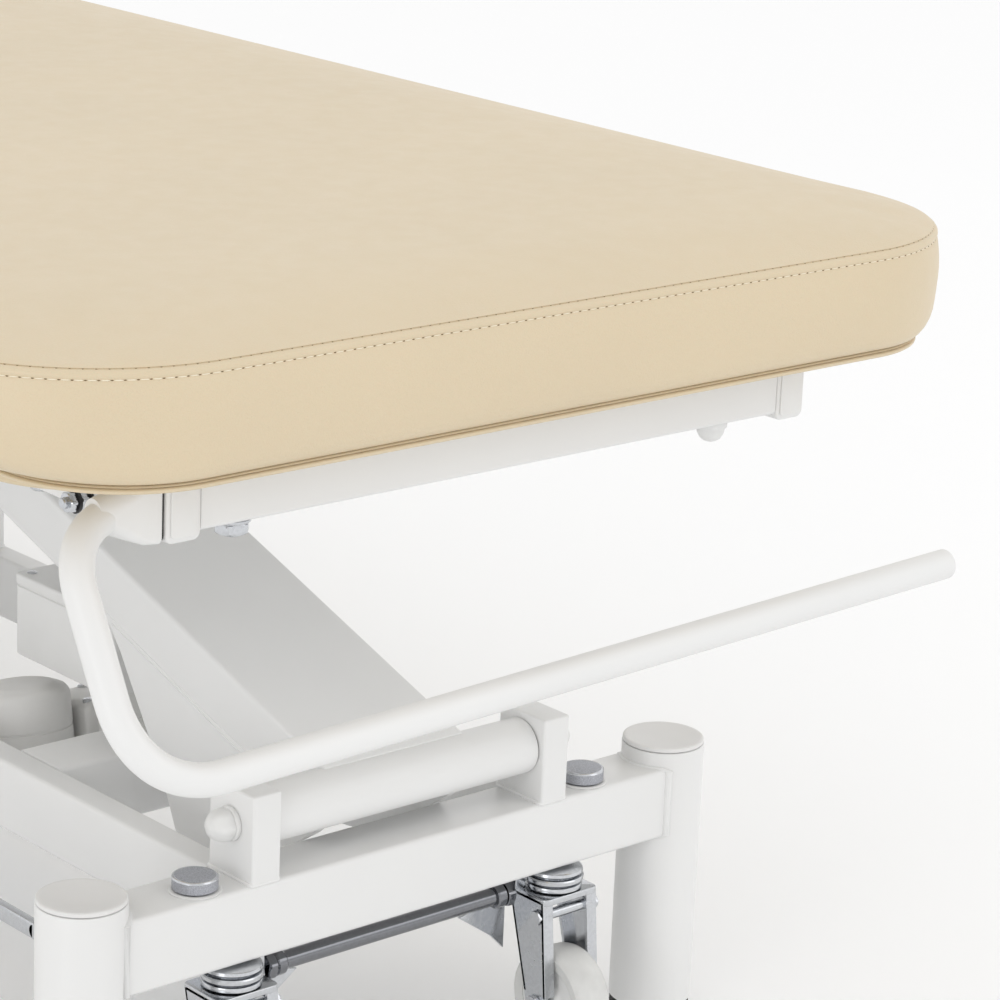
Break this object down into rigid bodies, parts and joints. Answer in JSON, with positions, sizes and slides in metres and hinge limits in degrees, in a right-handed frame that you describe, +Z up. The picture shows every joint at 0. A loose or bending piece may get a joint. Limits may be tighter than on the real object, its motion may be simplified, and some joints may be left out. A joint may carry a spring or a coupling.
{
  "type": "height-adjustable examination couch",
  "caption": "Height-adjustable examination couch with a rounded padded top, a parallelogram lift with an electric actuator, retractable castors and a paper-roll holder.",
  "frame": {"origin": "middle of the bounding box at floor level", "axes": "+Z up, +Y along the couch away from the paper-roll holder, +X across it to the right seen from the holder end"},
  "size_m": [0.696, 1.9536, 0.519],
  "materials": {
    "white_paint": "white powder coat, semi-gloss",
    "white_plastic": "satin white plastic",
    "zinc": "bright zinc plating",
    "rubber": "matt dark rubber",
    "tyre": "light grey tread",
    "motor_housing": "light grey fine-textured housing",
    "leatherette": "beige grained leatherette, satin",
    "board": "plywood wrapped in the cover"
  },
  "bodies": {
    "base": {"front_end_beam": "white_paint", "rear_end_beam": "white_paint", "side_beam_left": "white_paint", "side_beam_right": "white_paint", "actuator_cross_member": "white_paint", "front_lower_axle": "white_plastic", "rear_lower_axle": "white_plastic", "control_box": "white_plastic", "control_box_bracket": "white_paint", "post_front_left": "white_paint", "post_front_right": "white_paint", "post_rear_left": "white_paint", "post_rear_right": "white_paint", "post_cap_front_left": "white_plastic", "post_cap_front_right": "white_plastic", "post_cap_rear_left": "white_plastic", "post_cap_rear_right": "white_plastic", "rubber_foot_front_left": "rubber", "rubber_foot_front_right": "rubber", "rubber_foot_rear_left": "rubber", "rubber_foot_rear_right": "rubber", "screw_head_front_left": "zinc", "screw_head_front_right": "zinc", "screw_head_rear_left": "zinc", "screw_head_rear_right": "zinc", "pivot_bracket_front_left": "white_paint", "pivot_bracket_front_right": "white_paint", "pivot_bracket_rear_left": "white_paint", "pivot_bracket_rear_right": "white_paint"},
    "front_arm": {"front_pivot_tube": "white_paint", "front_lift_arm": "white_paint"},
    "rear_arm": {"rear_pivot_tube": "white_paint", "rear_lift_arm": "white_paint"},
    "couch_top": {"frame_rail_left": "white_paint", "frame_rail_right": "white_paint", "roll_socket_tube": "white_paint", "rear_frame_tube": "white_paint", "front_arm_crossbar": "white_paint", "rear_arm_crossbar": "white_paint", "front_upper_axle": "white_plastic", "rear_upper_axle": "white_plastic", "top_board": "board", "top_cushion": "leatherette", "socket_screw_cap": "white_plastic"},
    "paper_roll_holder": {"roll_holder": "white_paint"},
    "clamp_screw": {"roll_holder_clamp_screw": "zinc"},
    "actuator_body": {"actuator_gearcase": "motor_housing", "actuator_motor": "motor_housing"},
    "actuator_piston": {"actuator_rod": "zinc"},
    "castor_carriage_front": {"castor_lift_front": "zinc"},
    "fork_front_left": {"castor_fork_front_left": "zinc"},
    "wheel_front_left": {"castor_wheel_front_left": "tyre"},
    "fork_front_right": {"castor_fork_front_right": "zinc"},
    "wheel_front_right": {"castor_wheel_front_right": "tyre"},
    "castor_carriage_rear": {"castor_lift_rear": "zinc"},
    "fork_rear_left": {"castor_fork_rear_left": "zinc"},
    "wheel_rear_left": {"castor_wheel_rear_left": "tyre"},
    "fork_rear_right": {"castor_fork_rear_right": "zinc"},
    "wheel_rear_right": {"castor_wheel_rear_right": "tyre"}
  },
  "joints": [
    {"name": "lift_front_arm", "type": "hinge", "parent": "base", "child": "front_arm", "pos_m": [0, -0.83, 0.2036], "axis": [1, 0, 0], "range_deg": [0, 38]},
    {"name": "lift_rear_arm", "type": "hinge", "parent": "base", "child": "rear_arm", "pos_m": [0, -0.24, 0.2036], "axis": [1, 0, 0], "range_deg": [0, 38]},
    {"name": "top_level", "type": "hinge", "parent": "front_arm", "child": "couch_top", "pos_m": [0, -0.29832, 0.37944], "axis": [1, 0, 0], "range_deg": [-38, 0]},
    {"name": "actuator_swing", "type": "hinge", "parent": "base", "child": "actuator_body", "pos_m": [0, -0.574, 0.15], "axis": [1, 0, 0], "range_deg": [0, 7]},
    {"name": "actuator_extend", "type": "slide", "parent": "actuator_body", "child": "actuator_piston", "axis": [0, 0.9861, -0.1663], "range_m": [0, 0.063]},
    {"name": "roll_holder_pull", "type": "slide", "parent": "couch_top", "child": "paper_roll_holder", "axis": [-1, 0, 0], "range_m": [0, 0.08]},
    {"name": "clamp_screw_turn", "type": "hinge", "parent": "couch_top", "child": "clamp_screw", "pos_m": [-0.172, -0.9, 0.402], "axis": [0, 0, 1], "continuous": true},
    {"name": "castor_lift_front_tilt", "type": "hinge", "parent": "base", "child": "castor_carriage_front", "pos_m": [0, -0.72, 0.114], "axis": [1, 0, 0], "range_deg": [0, 8.5]},
    {"name": "castor_front_left_swivel", "type": "hinge", "parent": "castor_carriage_front", "child": "fork_front_left", "pos_m": [-0.119, -0.838, 0.109], "axis": [0, 0, 1], "continuous": true},
    {"name": "castor_front_left_roll", "type": "hinge", "parent": "fork_front_left", "child": "wheel_front_left", "pos_m": [-0.119, -0.85, 0.045], "axis": [1, 0, 0], "continuous": true},
    {"name": "castor_front_right_swivel", "type": "hinge", "parent": "castor_carriage_front", "child": "fork_front_right", "pos_m": [0.119, -0.838, 0.109], "axis": [0, 0, 1], "continuous": true},
    {"name": "castor_front_right_roll", "type": "hinge", "parent": "fork_front_right", "child": "wheel_front_right", "pos_m": [0.119, -0.85, 0.045], "axis": [1, 0, 0], "continuous": true},
    {"name": "castor_lift_rear_tilt", "type": "hinge", "parent": "base", "child": "castor_carriage_rear", "pos_m": [0, 0.24, 0.114], "axis": [-1, 0, 0], "range_deg": [0, 8.5]},
    {"name": "castor_rear_left_swivel", "type": "hinge", "parent": "castor_carriage_rear", "child": "fork_rear_left", "pos_m": [-0.119, 0.358, 0.109], "axis": [0, 0, 1], "continuous": true},
    {"name": "castor_rear_left_roll", "type": "hinge", "parent": "fork_rear_left", "child": "wheel_rear_left", "pos_m": [-0.119, 0.37, 0.045], "axis": [1, 0, 0], "continuous": true},
    {"name": "castor_rear_right_swivel", "type": "hinge", "parent": "castor_carriage_rear", "child": "fork_rear_right", "pos_m": [0.119, 0.358, 0.109], "axis": [0, 0, 1], "continuous": true},
    {"name": "castor_rear_right_roll", "type": "hinge", "parent": "fork_rear_right", "child": "wheel_rear_right", "pos_m": [0.119, 0.37, 0.045], "axis": [1, 0, 0], "continuous": true}
  ],
  "couplings": [
    {"joint": "lift_rear_arm", "follows": "lift_front_arm", "ratio": 1},
    {"joint": "top_level", "follows": "lift_front_arm", "ratio": -1},
    {"joint": "actuator_swing", "follows": "lift_front_arm", "ratio": 0.17914},
    {"joint": "actuator_extend", "follows": "lift_front_arm", "m_per_rad": 0.09355}
  ]
}
